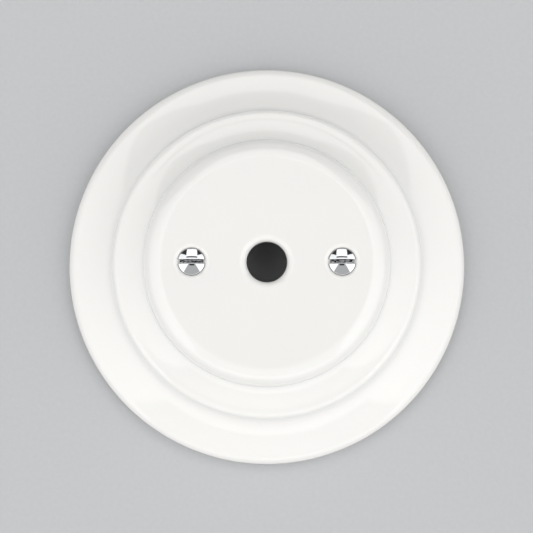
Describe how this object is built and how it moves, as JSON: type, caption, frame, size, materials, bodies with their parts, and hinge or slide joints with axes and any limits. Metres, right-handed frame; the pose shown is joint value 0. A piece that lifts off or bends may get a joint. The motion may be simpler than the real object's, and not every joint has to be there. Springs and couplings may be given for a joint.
{
  "type": "ceiling canopy",
  "caption": "Round glazed porcelain ceiling canopy with a stepped profile, held by slotted screws to a steel ceiling bracket, with a central hole for a lamp cord.",
  "frame": {"origin": "centre of the rim, on the ceiling plane that the rim and the bracket's feet lie on", "axes": "+Z points out of the ceiling into the room, towards the face; the two cover screws and the bracket lie along X"},
  "size_m": [0.135, 0.135, 0.0268],
  "materials": {
    "porcelain": "clear gloss glaze over warm white porcelain, bare on the foot ring",
    "chromed_screw": "polished chrome plate",
    "zinc_plated_steel": "bright zinc plate on pressed strap",
    "brass": "turned, satin",
    "spring_washer": "pressed, satin"
  },
  "bodies": {
    "root": {"porcelain_cover": "porcelain", "cover_screw_left": "chromed_screw", "cover_screw_right": "chromed_screw", "ceiling_bracket": "zinc_plated_steel", "earth_screw": "brass", "earth_washer": "spring_washer"}
  },
  "joints": []
}
